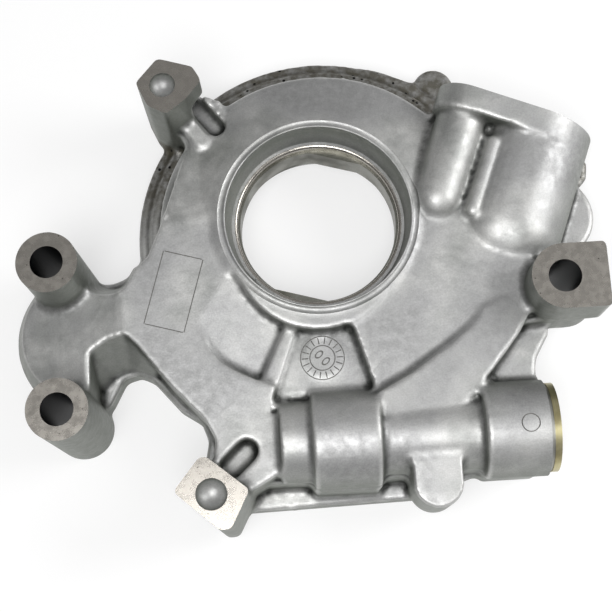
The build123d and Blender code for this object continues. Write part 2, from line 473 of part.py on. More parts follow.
def pump_housing():
    body = round_body() + front_faces()
    body -= sunk_faces()
    body += outlet_arm() + right_boss() + fixture_pads() + relief_tube() + prism(SKIRT, 0, SKIRT_TOP)
    body += inlet_chamber() + inlet_flange() + date_dial()
    body -= band(TOP_SLOT, TOP_SLOT_W, TOP_SLOT_FLOOR, TOP_SLOT_ROOF)
    body -= band(BOTTOM_SLOT, BOTTOM_SLOT_W, BOTTOM_SLOT_FLOOR, LEFT_TOP + THROUGH)
    body -= rear_hollows() + disc(RIM_R, -THROUGH, COVER_T, BODY_CENTRE)
    body -= disc(POCKET_R, 0, POCKET_FLOOR, (0, -ECCENTRICITY))
    body -= crank_mouth()
    cone_fall = (GROOVE_R - RING_R) * tan(radians(CONE_SLOPE))
    body -= Pos(0, 0, RING_TOP - cone_fall - GROOVE_DEPTH + GROOVE_ROUND) * Torus(GROOVE_R, GROOVE_ROUND)
    body -= passages()
    body -= relief_bore()
    for hole in drilled_holes():
        body -= hole
    return body


# ---- rear cover and what fastens it ----
def countersink(extra):
    """A screw's head, or with some extra radius the sink that it lies in."""
    z0 = SCREW_INSET
    head = Pos(0, 0, z0) * Cone(SCREW_HEAD_R + extra, SCREW_R + extra, SCREW_HEAD_T, align=UP)
    return head + disc(SCREW_HEAD_R, -THROUGH, z0) if extra else head


def rear_cover():
    cover = disc(COVER_R, 0, COVER_T, BODY_CENTRE) - disc(COVER_BORE_R, 0, COVER_T)
    for angle in screw_angles():
        at = Pos(*on_rim(angle), 0)
        cover -= at * countersink(SEAT_GAP)
        cover -= at * disc(SCREW_HOLE_R, 0, COVER_T)
    for angle in DOWEL_ANGLES:
        cover -= disc(DOWEL_R + SEAT_GAP, 0, COVER_T, on_rim(angle))
    for middle in (0, 180):
        cover -= kidney(middle, COVER_T - COVER_PORT_DEPTH, COVER_T)
    return cover


def cover_screw(angle):
    screw = countersink(0) + disc(SCREW_R, SCREW_INSET, SCREW_LENGTH)
    socket = extrude(Pos(0, 0, SCREW_INSET) * RegularPolygon(SCREW_SOCKET / 2, 6, major_radius=False),
                     SCREW_SOCKET_DEPTH)
    return Pos(*on_rim(angle), 0) * Rot(0, 0, angle) * (screw - socket)


def dowel_pin(angle):
    return disc(DOWEL_R, DOWEL_INSET, DOWEL_INSET + DOWEL_LENGTH, on_rim(angle))


# ---- rotors ----
def inner_profile():
    """The curve that stays in touch with the outer rotor's round lobes, less the lobe gap."""
    lobes = OUTER_TEETH - 1
    reach, lobe_r = LOBE_CIRCLE_R, LOBE_R + LOBE_GAP
    ratio = reach / (ECCENTRICITY * OUTER_TEETH)
    points = []
    for k in range(LOBE_POINTS + 1):
        t = 2 * pi * k / (lobes * LOBE_POINTS)
        lean = atan(sin(lobes * t) / (cos(lobes * t) - ratio))
        x = reach * cos(t) - lobe_r * cos(t + lean) - ECCENTRICITY * cos(OUTER_TEETH * t)
        y = -reach * sin(t) + lobe_r * sin(t + lean) + ECCENTRICITY * sin(OUTER_TEETH * t)
        points.append((x, y))
    pitch = radians(360 / lobes)
    lobe = Spline(*points, tangents=((0, -1), (-sin(pitch), -cos(pitch))))
    edges = [Rot(0, 0, 90 + 360 * k / lobes) * lobe for k in range(lobes)]
    return make_face(edges)


def inner_rotor():
    """Ten lobes round a bore with two drive flats, open behind them for the crank's collar."""
    back, front = COVER_T + END_FLOAT, COVER_T + END_FLOAT + ROTOR_WIDTH
    rotor = extrude(Pos(0, 0, back) * inner_profile(), ROTOR_WIDTH)
    flats = Circle(DRIVE_BORE_R) & Rectangle(2 * DRIVE_BORE_R, 2 * (DRIVE_BORE_R - DRIVE_FLAT_RISE))
    drive = extrude(Pos(0, 0, back) * Rot(0, 0, DRIVE_ANGLE) * flats, ROTOR_WIDTH)
    return rotor - drive - disc(DRIVE_BORE_R + DRIVE_RELIEF, back, front - DRIVE_LENGTH)


def outer_rotor():
    """A ring with round lobes inside, eccentric to the crank axis."""
    centre = (0, -ECCENTRICITY)
    lobes = Sketch() + [Pos(*around(LOBE_CIRCLE_R, 90 + 360 * k / OUTER_TEETH)) * Circle(LOBE_R)
                        for k in range(OUTER_TEETH)]
    ring = (Circle(OUTER_ROTOR_R) - Circle(VALLEY_R)) + (lobes & Circle(VALLEY_R + OUTER_RIM / 2))
    return extrude(Pos(*centre, COVER_T + END_FLOAT) * ring, ROTOR_WIDTH)


# ---- relief valve ----
def relief_piston():
    """A cup whose closed end rests on the shoulder of the bore."""
    end = RELIEF_SEAT_X + PISTON_LENGTH
    radius = RELIEF_BORE_R - SLIDING
    hollow = rod(radius - PISTON_WALL, RELIEF_SEAT_X + PISTON_CROWN, end)
    return rod(radius, RELIEF_SEAT_X, end) - hollow


def relief_spring():
    """A wire coil from the piston's crown to the plug."""
    start = RELIEF_SEAT_X + PISTON_CROWN + SPRING_WIRE_R + SEAT_GAP
    stop = PLUG_COLLAR[1] - PLUG_THREAD_LENGTH - SPRING_WIRE_R - SEAT_GAP
    path = Helix((stop - start) / SPRING_TURNS, stop - start, SPRING_R)
    coil = sweep(Plane(origin=path @ 0, z_dir=path % 0) * Circle(SPRING_WIRE_R), path, is_frenet=True)
    return Pos(start, RELIEF_Y, RELIEF_Z) * Rot(0, 90, 0) * coil


def relief_plug():
    """A screwed plug with a hexagon socket, and a spigot that centres the spring."""
    face = PLUG_COLLAR[1] + SEAL_T
    start = PLUG_COLLAR[1] - PLUG_THREAD_LENGTH
    plug = rod(PLUG_THREAD_R, start, face) + rod(PLUG_HEAD_R, face, face + PLUG_HEAD_T)
    plug += rod(PLUG_SPIGOT_R, start - PLUG_SPIGOT_LENGTH, start)
    end = Plane(origin=(face + PLUG_HEAD_T, RELIEF_Y, RELIEF_Z), x_dir=(0, 1, 0), z_dir=(-1, 0, 0))
    hexagon = RegularPolygon(PLUG_SOCKET / 2, 6, major_radius=False)
    return plug - extrude(end * hexagon, PLUG_SOCKET_DEPTH)


def plug_seal():
    face = PLUG_COLLAR[1]
    return rod(SEAL_R, face, face + SEAL_T) - rod(PLUG_THREAD_R + SEAT_GAP, face, face + SEAL_T)


parts = {"pump_housing": pump_housing(), "rear_cover": rear_cover(),
         "inner_rotor": inner_rotor(), "outer_rotor": outer_rotor(),
         "relief_piston": relief_piston(), "relief_spring": relief_spring(),
         "relief_plug": relief_plug(), "plug_seal": plug_seal()}
for number, angle in enumerate(screw_angles(), start=1):
    parts[f"cover_screw_{number}"] = cover_screw(angle)
for number, angle in enumerate(DOWEL_ANGLES, start=1):
    parts[f"dowel_pin_{number}"] = dowel_pin(angle)

os.makedirs("parts", exist_ok=True)
for name, shape in parts.items():
    shape.label = name
    export_step(shape, f"parts/{name}.step")
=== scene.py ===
from math import cos, pi, radians, sin, tan

import bpy
import numpy as np
import openvdb
from mathutils import Matrix, Vector
from mathutils.kdtree import KDTree


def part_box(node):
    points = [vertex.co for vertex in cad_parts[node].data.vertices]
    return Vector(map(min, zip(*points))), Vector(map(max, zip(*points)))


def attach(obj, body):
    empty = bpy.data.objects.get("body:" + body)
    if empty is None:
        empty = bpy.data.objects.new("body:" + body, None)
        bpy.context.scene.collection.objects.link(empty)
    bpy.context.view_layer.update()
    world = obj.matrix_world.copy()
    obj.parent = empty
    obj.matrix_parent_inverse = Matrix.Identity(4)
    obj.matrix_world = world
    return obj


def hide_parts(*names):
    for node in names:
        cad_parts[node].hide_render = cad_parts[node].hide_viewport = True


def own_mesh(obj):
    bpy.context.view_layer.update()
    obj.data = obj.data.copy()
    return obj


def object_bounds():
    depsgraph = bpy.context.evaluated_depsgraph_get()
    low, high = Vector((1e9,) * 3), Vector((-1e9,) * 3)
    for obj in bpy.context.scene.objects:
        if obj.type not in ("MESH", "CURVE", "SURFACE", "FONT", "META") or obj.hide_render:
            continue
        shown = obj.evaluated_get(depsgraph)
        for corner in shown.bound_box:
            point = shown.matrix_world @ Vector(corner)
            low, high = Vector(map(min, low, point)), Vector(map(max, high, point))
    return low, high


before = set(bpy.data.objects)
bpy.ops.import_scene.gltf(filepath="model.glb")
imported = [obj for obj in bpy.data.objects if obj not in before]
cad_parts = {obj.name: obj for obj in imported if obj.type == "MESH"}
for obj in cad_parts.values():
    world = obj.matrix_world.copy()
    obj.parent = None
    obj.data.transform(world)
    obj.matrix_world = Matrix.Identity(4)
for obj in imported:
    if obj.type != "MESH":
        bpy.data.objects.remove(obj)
cad_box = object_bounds()

# Pump housing, the casting. Pressure die-cast aluminium: every edge is rounded and every inner
# corner filleted, because the metal has to fill the die and leave it. The rounding is done on a
# distance field of the solid with its machined openings filled and its machined faces pushed out.
CELL = 0.5e-3             # pitch of the distance field
FILLET = 1.4e-3           # radius left in the inner corners
EDGE_ROUND = 0.6e-3       # radius on the outer edges
STOCK = 4.0e-3            # metal beyond each machined face, cut off again below
OVER = 0.1e-3             # plugs and cutters run past a surface by this much
KEPT_SHARE = 0.36         # share of the field's triangles that the finished casting keeps
FACE_TOP = 42.0e-3        # machined faces of the bosses
COVER_T, COVER_SEAT_R = 5.0e-3, 54.2e-3
BODY_CENTRE = (1.0e-3, -0.5e-3, 0.0)  # middle of the cover and of its circle of screws
BOLT_HOLES = ((-74.4e-3, -12.7e-3), (-72.1e-3, -53.0e-3), (65.1e-3, -24.9e-3))
BOLT_R = 4.5e-3
BEHIND_RIGHT_BOSS = 8e-3              # the right boss stands clear of the rear, so its plug starts here
DIMPLES = ((-41.4e-3, 36.6e-3, 3.6e-3), (-32.3e-3, -77.6e-3, 4.2e-3))     # X, Y and radius
RELIEF_AXIS = (-63.0e-3, 22.0e-3)     # Y and Z of the bore
COLLAR_R, COLLAR_END = 13.3e-3, 58.7e-3
THREAD_PLUG_R, THREAD_PLUG_START = 10.2e-3, 45e-3
OUTLET = (-73.0e-3, -32.4e-3)
OUTLET_R, OUTLET_PLUG_TOP = 7.0e-3, 9e-3
INLET_TILT = radians(21.5)
FLANGE_S = 48.6e-3                    # flange face, along the inlet axis
PORT_T, PORT_Z = 52.3e-3, 18.2e-3     # inlet bore, across the inlet axis
PORT_R, PORT_PLUG_START = 12e-3, 38e-3
STUD_T, STUD_Z = 30.5e-3, 25.6e-3     # tapped hole beside it
STUD_R, STUD_PLUG_START = 3.4e-3, 25e-3
RING_R, RING_TOP, CONE_FALL = 27.2e-3, 29.8e-3, tan(radians(22))
MOUTH_PLUG_BASE = 19.5e-3
RING_SHELF_R = 28.9e-3                # the raised ring and the groove round it end here
X, Z = Vector((1, 0, 0)), Vector((0, 0, 1))
inlet_dir = Vector((sin(INLET_TILT), cos(INLET_TILT), 0))
inlet_side = Vector((cos(INLET_TILT), -sin(INLET_TILT), 0))


def cone_height(radius):
    """Height of the front wall, which falls away from the ring round the crank bore."""
    return RING_TOP - (radius - RING_R) * CONE_FALL


def on_inlet(s, t, z):
    """A point given along the inlet axis, across it and in height."""
    return inlet_dir * s + inlet_side * t + Z * z


def turned(profile, at, along, steps=96):
    """A closed turned shape: (radius, distance) pairs swept round a line, as a ring if none is 0."""
    side = along.orthogonal().normalized()
    up = along.cross(side)
    spots, faces, rings = [], [], []
    for radius, far in profile:
        middle = Vector(at) + along * far
        if radius == 0:
            rings.append([len(spots)] * steps)
            spots.append(middle)
            continue
        rings.append(list(range(len(spots), len(spots) + steps)))
        for k in range(steps):
            turn = 2 * pi * k / steps
            spots.append(middle + (side * cos(turn) + up * sin(turn)) * radius)
    for low, high in zip(rings, rings[1:] + (rings[:1] if profile[0][0] else [])):
        for k in range(steps):
            m = (k + 1) % steps
            face = [low[k], low[m], high[m], high[k]]
            faces.append([v for i, v in enumerate(face) if v not in face[:i]])
    return [tuple(p) for p in spots], faces


def drilled(radius, start, stop, steps=96):
    """A straight round hole or plug between two points."""
    along = Vector(stop) - Vector(start)
    return turned(((0, 0), (radius, 0), (radius, along.length), (0, along.length)),
                  start, along.normalized(), steps)


def joined(shapes):
    """Several shapes as one list of points and one of faces."""
    spots, faces = [], []
    for points, sides in shapes:
        faces += [[v + len(spots) for v in side] for side in sides]
        spots += points
    return spots, faces


def triangles(faces):
    """Each face as a fan of triangles, which is how the distance field takes them."""
    return [(f[0], f[k], f[k + 1]) for f in faces for k in range(1, len(f) - 1)]


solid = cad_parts["pump_housing"].data
spots = np.zeros(len(solid.vertices) * 3, np.float32)
solid.vertices.foreach_get("co", spots)
spots = spots.reshape(-1, 3)
solid.calc_loop_triangles()
corners = np.zeros(len(solid.loop_triangles) * 3, np.int32)
solid.loop_triangles.foreach_get("vertices", corners)
corners = corners.reshape(-1, 3)

NEAR = 0.02e-3            # a point this near a machined face lies on it
FLANGE_FROM_T, FLANGE_FROM_Y = 20e-3, 5e-3    # the flange's points lie beyond these
along_inlet, across_inlet = spots @ np.array(inlet_dir), spots @ np.array(inlet_side)
flange_face = ((np.abs(along_inlet - FLANGE_S) < NEAR) & (across_inlet > FLANGE_FROM_T)
               & (spots[:, 1] > FLANGE_FROM_Y))
from_relief = np.hypot(spots[:, 1] - RELIEF_AXIS[0], spots[:, 2] - RELIEF_AXIS[1])
collar_face = (spots[:, 0] > COLLAR_END - NEAR) & (from_relief < COLLAR_R + NEAR)
front_faces, rear_faces = spots[:, 2] > FACE_TOP - NEAR, spots[:, 2] < NEAR
spots[flange_face] += np.array(inlet_dir) * STOCK
spots[collar_face, 0] += STOCK
spots[front_faces, 2] += STOCK
spots[rear_faces, 2] -= STOCK

rear_seat = Vector(BODY_CENTRE)
past_flange = FLANGE_S + STOCK
plugs = [drilled(COVER_SEAT_R + OVER, rear_seat - Z * STOCK, rear_seat + Z * (COVER_T + OVER)),
         drilled(PORT_R + OVER, on_inlet(PORT_PLUG_START, PORT_T, PORT_Z),
                 on_inlet(past_flange, PORT_T, PORT_Z)),
         drilled(STUD_R + OVER, on_inlet(STUD_PLUG_START, STUD_T, STUD_Z),
                 on_inlet(past_flange, STUD_T, STUD_Z)),
         drilled(THREAD_PLUG_R, (THREAD_PLUG_START, *RELIEF_AXIS), (COLLAR_END + STOCK, *RELIEF_AXIS)),
         drilled(OUTLET_R + OVER, (*OUTLET, -STOCK), (*OUTLET, OUTLET_PLUG_TOP))]
filled_mouth = ((0, MOUTH_PLUG_BASE), (RING_SHELF_R, MOUTH_PLUG_BASE),
                (RING_SHELF_R, cone_height(RING_SHELF_R)), (RING_R, RING_TOP), (0, RING_TOP))
plugs += [turned(filled_mouth, (0, 0, 0), Z, steps=192)]
plugs += [drilled(BOLT_R + OVER, (x, y, -STOCK), (x, y, FACE_TOP + STOCK)) for x, y in BOLT_HOLES[:2]]
plugs += [drilled(BOLT_R + OVER, (*BOLT_HOLES[2], BEHIND_RIGHT_BOSS), (*BOLT_HOLES[2], FACE_TOP + STOCK))]
plugs += [drilled(r + OVER, (x, y, FACE_TOP - r - OVER), (x, y, FACE_TOP + STOCK)) for x, y, r in DIMPLES]
plug_spots, plug_faces = joined(plugs)
corners = np.vstack([corners, np.array(triangles(plug_faces)) + len(spots)]).astype(np.uint32)
spots = np.vstack([spots, np.array(plug_spots)]).astype(np.float32)


BAND = 2.5                # cells of the field kept on each side beyond the move


def grown(surface, by):
    """The surface moved outwards by a distance, or inwards by a negative one."""
    points, tris, quads = surface
    field = openvdb.FloatGrid.createLevelSetFromPolygons(
        points, triangles=tris if len(tris) else None, quads=quads if len(quads) else None,
        transform=openvdb.createLinearTransform(voxelSize=CELL), halfWidth=abs(by) / CELL + BAND)
    return field.convertToPolygons(isovalue=by, adaptivity=0.0)


surface = grown((spots, corners, ()), FILLET)
surface = grown(surface, -FILLET - EDGE_ROUND)
points, tris, quads = grown(surface, EDGE_ROUND)


def mesh_piece(name, points, faces):
    mesh = bpy.data.meshes.new(name)
    mesh.from_pydata(points, [], faces)
    mesh.update()
    piece = bpy.data.objects.new(name, mesh)
    bpy.context.scene.collection.objects.link(piece)
    return piece


def applied(piece):
    """Turns the piece's modifiers into mesh."""
    bpy.context.view_layer.update()
    shaped = bpy.data.meshes.new_from_object(piece.evaluated_get(bpy.context.evaluated_depsgraph_get()))
    piece.modifiers.clear()
    piece.data = shaped
    return piece


flipped = [tuple(reversed(face)) for face in quads.tolist() + tris.tolist()]
casting = mesh_piece("casting", points.tolist(), flipped)
thinned = casting.modifiers.new("thinned", "DECIMATE")
thinned.ratio = KEPT_SHARE
applied(casting)

# The cast skin gets painted shade in its hollow corners and a painted highlight on its ridges, so each
# point keeps how hollow the surface is round it, from -1 on a ridge to 1 in a corner, for the finishes.
SHORTEST_EDGE = 0.1e-3    # shorter ones count as this long, so that they don't stand out
BLUR_ROUNDS, OWN_SHARE = 5, 0.4       # passes between neighbours, and what a point keeps of its own
STRONG_HOLLOW = 220.0                 # curvature in 1 / metre that counts as a full corner
shape = casting.data
count = len(shape.vertices)
spots, normals = np.zeros(count * 3, np.float32), np.zeros(count * 3, np.float32)
shape.vertices.foreach_get("co", spots)
shape.vertices.foreach_get("normal", normals)
spots, normals = spots.reshape(-1, 3), normals.reshape(-1, 3)
spots[:, 1] = np.clip(spots[:, 1], cad_box[0][1], cad_box[1][1])   # the rim swells by 0.1 mm there
shape.vertices.foreach_set("co", spots.ravel())
pairs = np.zeros(len(shape.edges) * 2, np.int32)
shape.edges.foreach_get("vertices", pairs)
one, two = pairs.reshape(-1, 2).T
apart = spots[two] - spots[one]
length = np.maximum(np.linalg.norm(apart, axis=1), SHORTEST_EDGE)
rise_one = np.einsum("ij,ij->i", apart, normals[one]) / length ** 2
rise_two = -np.einsum("ij,ij->i", apart, normals[two]) / length ** 2
near = np.bincount(one, minlength=count) + np.bincount(two, minlength=count)
hollow_by = (np.bincount(one, rise_one, count) + np.bincount(two, rise_two, count)) / near
for _ in range(BLUR_ROUNDS):
    shared = np.bincount(one, hollow_by[two], count) + np.bincount(two, hollow_by[one], count)
    hollow_by = OWN_SHARE * hollow_by + (1 - OWN_SHARE) * shared / near
hollow_by = np.clip(hollow_by / STRONG_HOLLOW, -1, 1)
cast_points = KDTree(count)
for number, spot in enumerate(spots):
    cast_points.insert(spot, number)
cast_points.balance()

# Pump housing, the machining. The boss faces, the flange face and the rear face are milled flat, and
# the rotor pocket, the relief bore and every hole are cut into the casting, so their edges are crisp.
ROTOR_AXIS = (0.0, -2.8e-3, 0.0)
POCKET_R, POCKET_FLOOR = 42.66e-3, 18.5e-3
SCREW_CIRCLE_R, SCREW_R, SCREW_DEPTH = 49.2e-3, 2.52e-3, 10.1e-3
DOWEL_R, DOWEL_DEPTH = 2.02e-3, 8.8e-3
SCREW_TURNS, DOWEL_TURNS = [28 + 36 * k for k in range(10)], (46, 226)    # degrees from +X
DIMPLE_STEPS = 12
FAR = 0.2                 # beyond every part of the object
FLANGE_CUT = ((14e-3, 12e-3), (80e-3, FACE_TOP - OVER))    # across the inlet axis, and in height
FOOT_CUT = ((36e-3, -OVER), (80e-3, 12.5e-3))              # the part of the flange that reaches the rear
COLLAR_CUT_R = 14.5e-3                # wider than the collar
PORT_START, STUD_START, RELIEF_START, OUTLET_TOP = 16e-3, 26.6e-3, -9e-3, 19e-3


def block(low, high, place=Matrix.Identity(4)):
    """A box between two corners, moved and turned by a matrix."""
    ends = [Vector((x, y, z)) for x in (low[0], high[0]) for y in (low[1], high[1])
            for z in (low[2], high[2])]
    sides = [(0, 1, 3, 2), (4, 6, 7, 5), (0, 4, 5, 1), (2, 3, 7, 6), (0, 2, 6, 4), (1, 5, 7, 3)]
    return [tuple(place @ end) for end in ends], [list(side) for side in sides]


def on_screw_circle(degrees, z):
    """A point on the circle of the cover's screws."""
    turn = radians(degrees)
    return rear_seat + Vector((SCREW_CIRCLE_R * cos(turn), SCREW_CIRCLE_R * sin(turn), z))


def cut(piece, shapes, material):
    """Cuts shapes that don't overlap each other out of the piece, and gives the cut its finish."""
    tool = mesh_piece("tool", *joined(shapes))
    tool.data.materials.append(material)
    cutting = piece.modifiers.new("cutting", "BOOLEAN")
    cutting.operation = "DIFFERENCE"
    cutting.solver = "MANIFOLD"
    cutting.object = tool
    applied(piece)
    bpy.data.objects.remove(tool)


def srgb(value):
    """Turns a colour such as 0xa08c78 into Blender's linear colour."""
    parts = [(value >> shift & 255) / 255 for shift in (16, 8, 0)]
    return [p / 12.92 if p <= 0.04045 else ((p + 0.055) / 1.055) ** 2.4 for p in parts] + [1.0]


def add(tree, kind, inputs=None, out=None, **settings):
    """Adds a node and gives it, or its named output; an input is a value or an output to link."""
    made = tree.nodes.new("ShaderNode" + kind)
    for key, value in settings.items():
        setattr(made, key, value)
    for socket, value in (inputs or {}).items():
        if isinstance(value, bpy.types.NodeSocket):
            tree.links.new(value, made.inputs[socket])
        else:
            made.inputs[socket].default_value = value
    return made if out is None else made.outputs[out]


def finish_named(name, metallic, roughness):
    """A new material: itself, its tree, the inputs of its one shader and the place on the object."""
    made = bpy.data.materials.new(name)
    made.use_nodes = True
    tree = made.node_tree
    sockets = tree.nodes["Principled BSDF"].inputs
    sockets["Metallic"].default_value = metallic
    sockets["Roughness"].default_value = roughness
    return made, tree, sockets, add(tree, "TexCoord", out="Object")


# Aluminium as die-cast and lightly blasted: a soft grey skin, slightly grainy and cloudy where the
# metal flowed, with a few smudges from handling, and painted shade that makes the steep draft walls
# darker than the faces. The blasted grain is about 0.1 mm, and is drawn coarser so that it shows.
CLOUD, PATCH, SPECK, GRAIN, PORE_SPACING = 9e-3, 30e-3, 2.2e-3, 0.45e-3, 3.2e-3
die_cast, tree, sockets, place = finish_named("die-cast aluminium", 0.8, 0.5)
grain = add(tree, "TexNoise", {"Vector": place, "Scale": 1 / GRAIN, "Detail": 2}, "Fac")
speck = add(tree, "TexNoise", {"Vector": place, "Scale": 1 / SPECK, "Detail": 5}, "Fac")
cloud = add(tree, "TexNoise", {"Vector": place, "Scale": 1 / CLOUD, "Detail": 4}, "Fac")
patch = add(tree, "TexNoise", {"Vector": place, "Scale": 1 / PATCH, "Detail": 3}, "Fac")
cloudy = add(tree, "MapRange", {"Value": cloud, "From Min": 0.38, "From Max": 0.62}, "Result")
skin = add(tree, "Mix", {"Factor": cloudy, "A": srgb(0x9fa09e), "B": srgb(0xbcbcba)}, "Result",
           data_type="RGBA")
patchy = add(tree, "MapRange", {"Value": patch, "From Min": 0.42, "From Max": 0.58}, "Result")
skin = add(tree, "Mix", {"Factor": patchy, "A": skin, "B": srgb(0xa9a9a9)}, "Result", data_type="RGBA")
blot = add(tree, "TexNoise", {"Vector": place, "Scale": 1 / PATCH, "Detail": 9}, "Fac")
blotted = add(tree, "MapRange", {"Value": blot, "From Min": 0.53, "From Max": 0.6}, "Result")
specked = add(tree, "MapRange", {"Value": speck, "From Min": 0.35, "From Max": 0.6}, "Result")
smudge = add(tree, "Math", {0: blotted, 1: specked}, "Value", operation="MULTIPLY")
smudged = add(tree, "MapRange", {"Value": smudge, "To Max": 0.28}, "Result")
skin = add(tree, "Mix", {"Factor": smudged, "A": skin, "B": srgb(0x6f706e)}, "Result", data_type="RGBA")
# Painted shade: the steeper the surface, the more of the darker wall tone it takes.
facing = add(tree, "SeparateXYZ", {"Vector": add(tree, "TexCoord", out="Normal")}, "Z")
painted_wall_shade = add(tree, "MapRange", {"Value": facing, "From Min": 0.8, "From Max": 0.15}, "Result")
skin = add(tree, "Mix", {"Factor": painted_wall_shade, "A": skin, "B": srgb(0x7a7d77)}, "Result", data_type="RGBA")

# Painted shade darkens its hollow corners and a painted highlight lightens its ridges. Oil has stained
# the rim behind the front wall brown, and a few casting pores show there.
STAIN_Z, STAIN_Y = (15.5e-3, 13.5e-3), (-4e-3, 16e-3)    # where the stain starts and is full
hollowed = add(tree, "Attribute", out="Fac", attribute_name="hollow")
deep = add(tree, "MapRange", {"Value": hollowed, "From Min": 0.12, "From Max": 0.75}, "Result")
broken = add(tree, "MapRange", {"Value": speck, "From Min": 0.25, "From Max": 0.6, "To Min": 0.55,
                                "To Max": 0.95}, "Result")
# Painted shade: the hollower the corner, the darker, broken up by the specks.
painted_corner_shade = add(tree, "Math", {0: deep, 1: broken}, "Value", operation="MULTIPLY")
skin = add(tree, "Mix", {"Factor": painted_corner_shade, "A": skin, "B": srgb(0x2b2d2a)}, "Result", data_type="RGBA")
# Painted highlight: the sharper the ridge, the lighter.
painted_ridge_highlight = add(tree, "MapRange", {"Value": hollowed, "From Min": -0.25, "From Max": -0.9, "To Max": 0.6},
             "Result")
skin = add(tree, "Mix", {"Factor": painted_ridge_highlight, "A": skin, "B": srgb(0xcfcfcd)}, "Result", data_type="RGBA")
spot = add(tree, "SeparateXYZ", {"Vector": place})
low_down = add(tree, "MapRange", {"Value": spot.outputs["Z"], "From Min": STAIN_Z[0],
                                  "From Max": STAIN_Z[1]}, "Result")
far_side = add(tree, "MapRange", {"Value": spot.outputs["Y"], "From Min": STAIN_Y[0],
                                  "From Max": STAIN_Y[1]}, "Result")
behind = add(tree, "Math", {0: low_down, 1: far_side}, "Value", operation="MULTIPLY")
uneven = add(tree, "MapRange", {"Value": speck, "From Min": 0.3, "From Max": 0.6, "To Min": 0.3,
                                "To Max": 0.85}, "Result")
stained = add(tree, "Math", {0: behind, 1: uneven}, "Value", operation="MULTIPLY")
skin = add(tree, "Mix", {"Factor": stained, "A": skin, "B": srgb(0x504c40)}, "Result", data_type="RGBA")
pore = add(tree, "TexVoronoi", {"Vector": place, "Scale": 1 / PORE_SPACING}, "Distance")
pore = add(tree, "MapRange", {"Value": pore, "From Min": 0.17, "From Max": 0.11}, "Result")
pored = add(tree, "Math", {0: pore, 1: behind}, "Value", operation="MULTIPLY")
skin = add(tree, "Mix", {"Factor": pored, "A": skin, "B": srgb(0x0e0d0c)}, "Result", data_type="RGBA")
grained = add(tree, "MapRange", {"Value": grain, "From Min": 0.3, "From Max": 0.7, "To Min": 0.9,
                                 "To Max": 1.08}, "Result")
skin = add(tree, "Mix", {"Factor": 1.0, "A": skin, "B": grained}, "Result", data_type="RGBA",
           blend_type="MULTIPLY")
tree.links.new(skin, sockets["Base Color"])
dulled = add(tree, "MapRange", {"Value": speck, "From Min": 0.3, "From Max": 0.7, "To Min": 0.44,
                                "To Max": 0.56}, "Result")
tree.links.new(dulled, sockets["Roughness"])
bump = add(tree, "Bump", {"Height": grain, "Distance": 0.05e-3, "Strength": 0.5}, "Normal")
bump = add(tree, "Bump", {"Height": speck, "Distance": 0.12e-3, "Strength": 0.35, "Normal": bump}, "Normal")
bump = add(tree, "Bump", {"Height": cloud, "Distance": 0.5e-3, "Strength": 0.25, "Normal": bump}, "Normal")
tree.links.new(bump, sockets["Normal"])

# Aluminium as milled: warmer than the cast skin and smooth, with fine tool marks and a few pores.
# The marks are about 0.1 mm apart, and are drawn coarser so that they show.
MARK, PIT_SPACING = 0.4e-3, 2.6e-3
milled, tree, sockets, place = finish_named("milled aluminium", 1.0, 0.26)
tool_marks = add(tree, "TexNoise", {"Vector": place, "Scale": 1 / MARK, "Detail": 3}, "Fac")
tone = add(tree, "Mix", {"Factor": tool_marks, "A": srgb(0x9f9a93), "B": srgb(0xb8b4ad)}, "Result",
           data_type="RGBA")
pit = add(tree, "TexVoronoi", {"Vector": place, "Scale": 1 / PIT_SPACING}, "Distance")
pitted = add(tree, "MapRange", {"Value": pit, "From Min": 0.09, "From Max": 0.05}, "Result")
tone = add(tree, "Mix", {"Factor": pitted, "A": tone, "B": srgb(0x4c4944)}, "Result", data_type="RGBA")
tree.links.new(tone, sockets["Base Color"])
handled = add(tree, "TexNoise", {"Vector": place, "Scale": 1 / SPECK, "Detail": 3}, "Fac")
dulled = add(tree, "MapRange", {"Value": handled, "From Min": 0.3, "From Max": 0.7, "To Min": 0.22,
                                "To Max": 0.32}, "Result")
tree.links.new(dulled, sockets["Roughness"])
bump = add(tree, "Bump", {"Height": tool_marks, "Distance": 0.02e-3, "Strength": 0.35}, "Normal")
tree.links.new(bump, sockets["Normal"])

# Aluminium as drilled, coloured nearly black on the walls of the bolt holes as painted shade of the deep
# holes.
drilled_painted_shade, tree, sockets, place = finish_named("drilled aluminium in painted shade", 0.9, 0.45)
dark_mottle = add(tree, "TexNoise", {"Vector": place, "Scale": 1 / SPECK, "Detail": 4}, "Fac")
tone = add(tree, "Mix", {"Factor": dark_mottle, "A": srgb(0x07090b), "B": srgb(0x15181a)}, "Result",
           data_type="RGBA")
tree.links.new(tone, sockets["Base Color"])
bump = add(tree, "Bump", {"Height": dark_mottle, "Distance": 0.05e-3, "Strength": 0.3}, "Normal")
tree.links.new(bump, sockets["Normal"])

for finish in (die_cast, milled, drilled_painted_shade):
    casting.data.materials.append(finish)


def faced_flange(cut_box):
    """The cutter that faces the inlet flange between two corners of its face."""
    (t_low, z_low), (t_high, z_high) = cut_box
    across = Matrix((inlet_side, inlet_dir, Z)).transposed().to_4x4()
    return block((t_low, FLANGE_S, z_low), (t_high, FAR, z_high), across)


cut(casting, [block((-FAR, -FAR, FACE_TOP), (FAR, FAR, FAR)), block((-FAR, -FAR, -FAR), (FAR, FAR, 0)),
              faced_flange(FLANGE_CUT),
              drilled(COLLAR_CUT_R, (COLLAR_END, *RELIEF_AXIS), (COLLAR_END + 2 * STOCK, *RELIEF_AXIS))],
    milled)
cut(casting, [faced_flange(FOOT_CUT)], milled)
